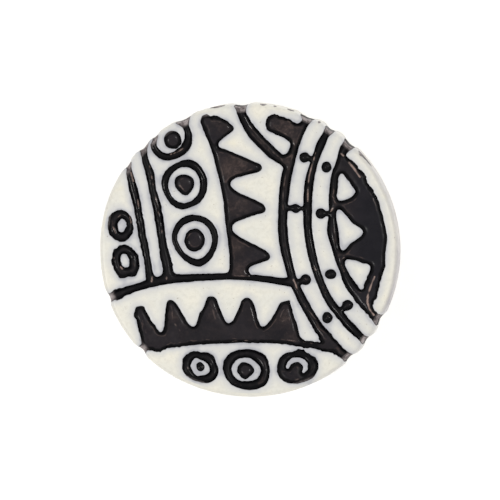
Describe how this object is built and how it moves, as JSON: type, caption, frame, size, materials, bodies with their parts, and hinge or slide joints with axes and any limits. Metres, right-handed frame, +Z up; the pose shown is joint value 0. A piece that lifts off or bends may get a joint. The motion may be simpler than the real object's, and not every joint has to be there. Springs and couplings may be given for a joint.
{
  "type": "ink stick",
  "caption": "Round domed ink cake in cream with a deep carved tribal pattern of sawtooth bands, arcs and target rings, its recesses coated in glossy black ink.",
  "frame": {"origin": "centre of the flat back, on the surface that the cake lies on", "axes": "+Z up through the domed face, +Y towards the top of the carved pattern, +X towards its crescent"},
  "size_m": [0.0502, 0.0502, 0.0115],
  "materials": {
    "cream_body": "glossy cream-white, slightly translucent",
    "black_ink": "glossy black ink coat"
  },
  "bodies": {
    "root": {"body": "cream_body", "main_network_ink": "black_ink", "crescent_ink": "black_ink", "corner_ring_ink": "black_ink", "corner_pupil_ink": "black_ink", "upper_ring_ink": "black_ink", "upper_pupil_ink": "black_ink", "middle_ring_ink": "black_ink", "middle_pupil_ink": "black_ink", "left_oval_upper_ink": "black_ink", "left_oval_lower_ink": "black_ink", "arc_dot_top_ink": "black_ink", "arc_dot_middle_ink": "black_ink", "arc_dot_low_ink": "black_ink", "bottom_ring_left_ink": "black_ink", "bottom_pupil_left_ink": "black_ink", "bottom_ring_middle_ink": "black_ink", "bottom_pupil_middle_ink": "black_ink", "bottom_ring_right_ink": "black_ink", "rim_marks_ink": "black_ink"}
  },
  "joints": []
}
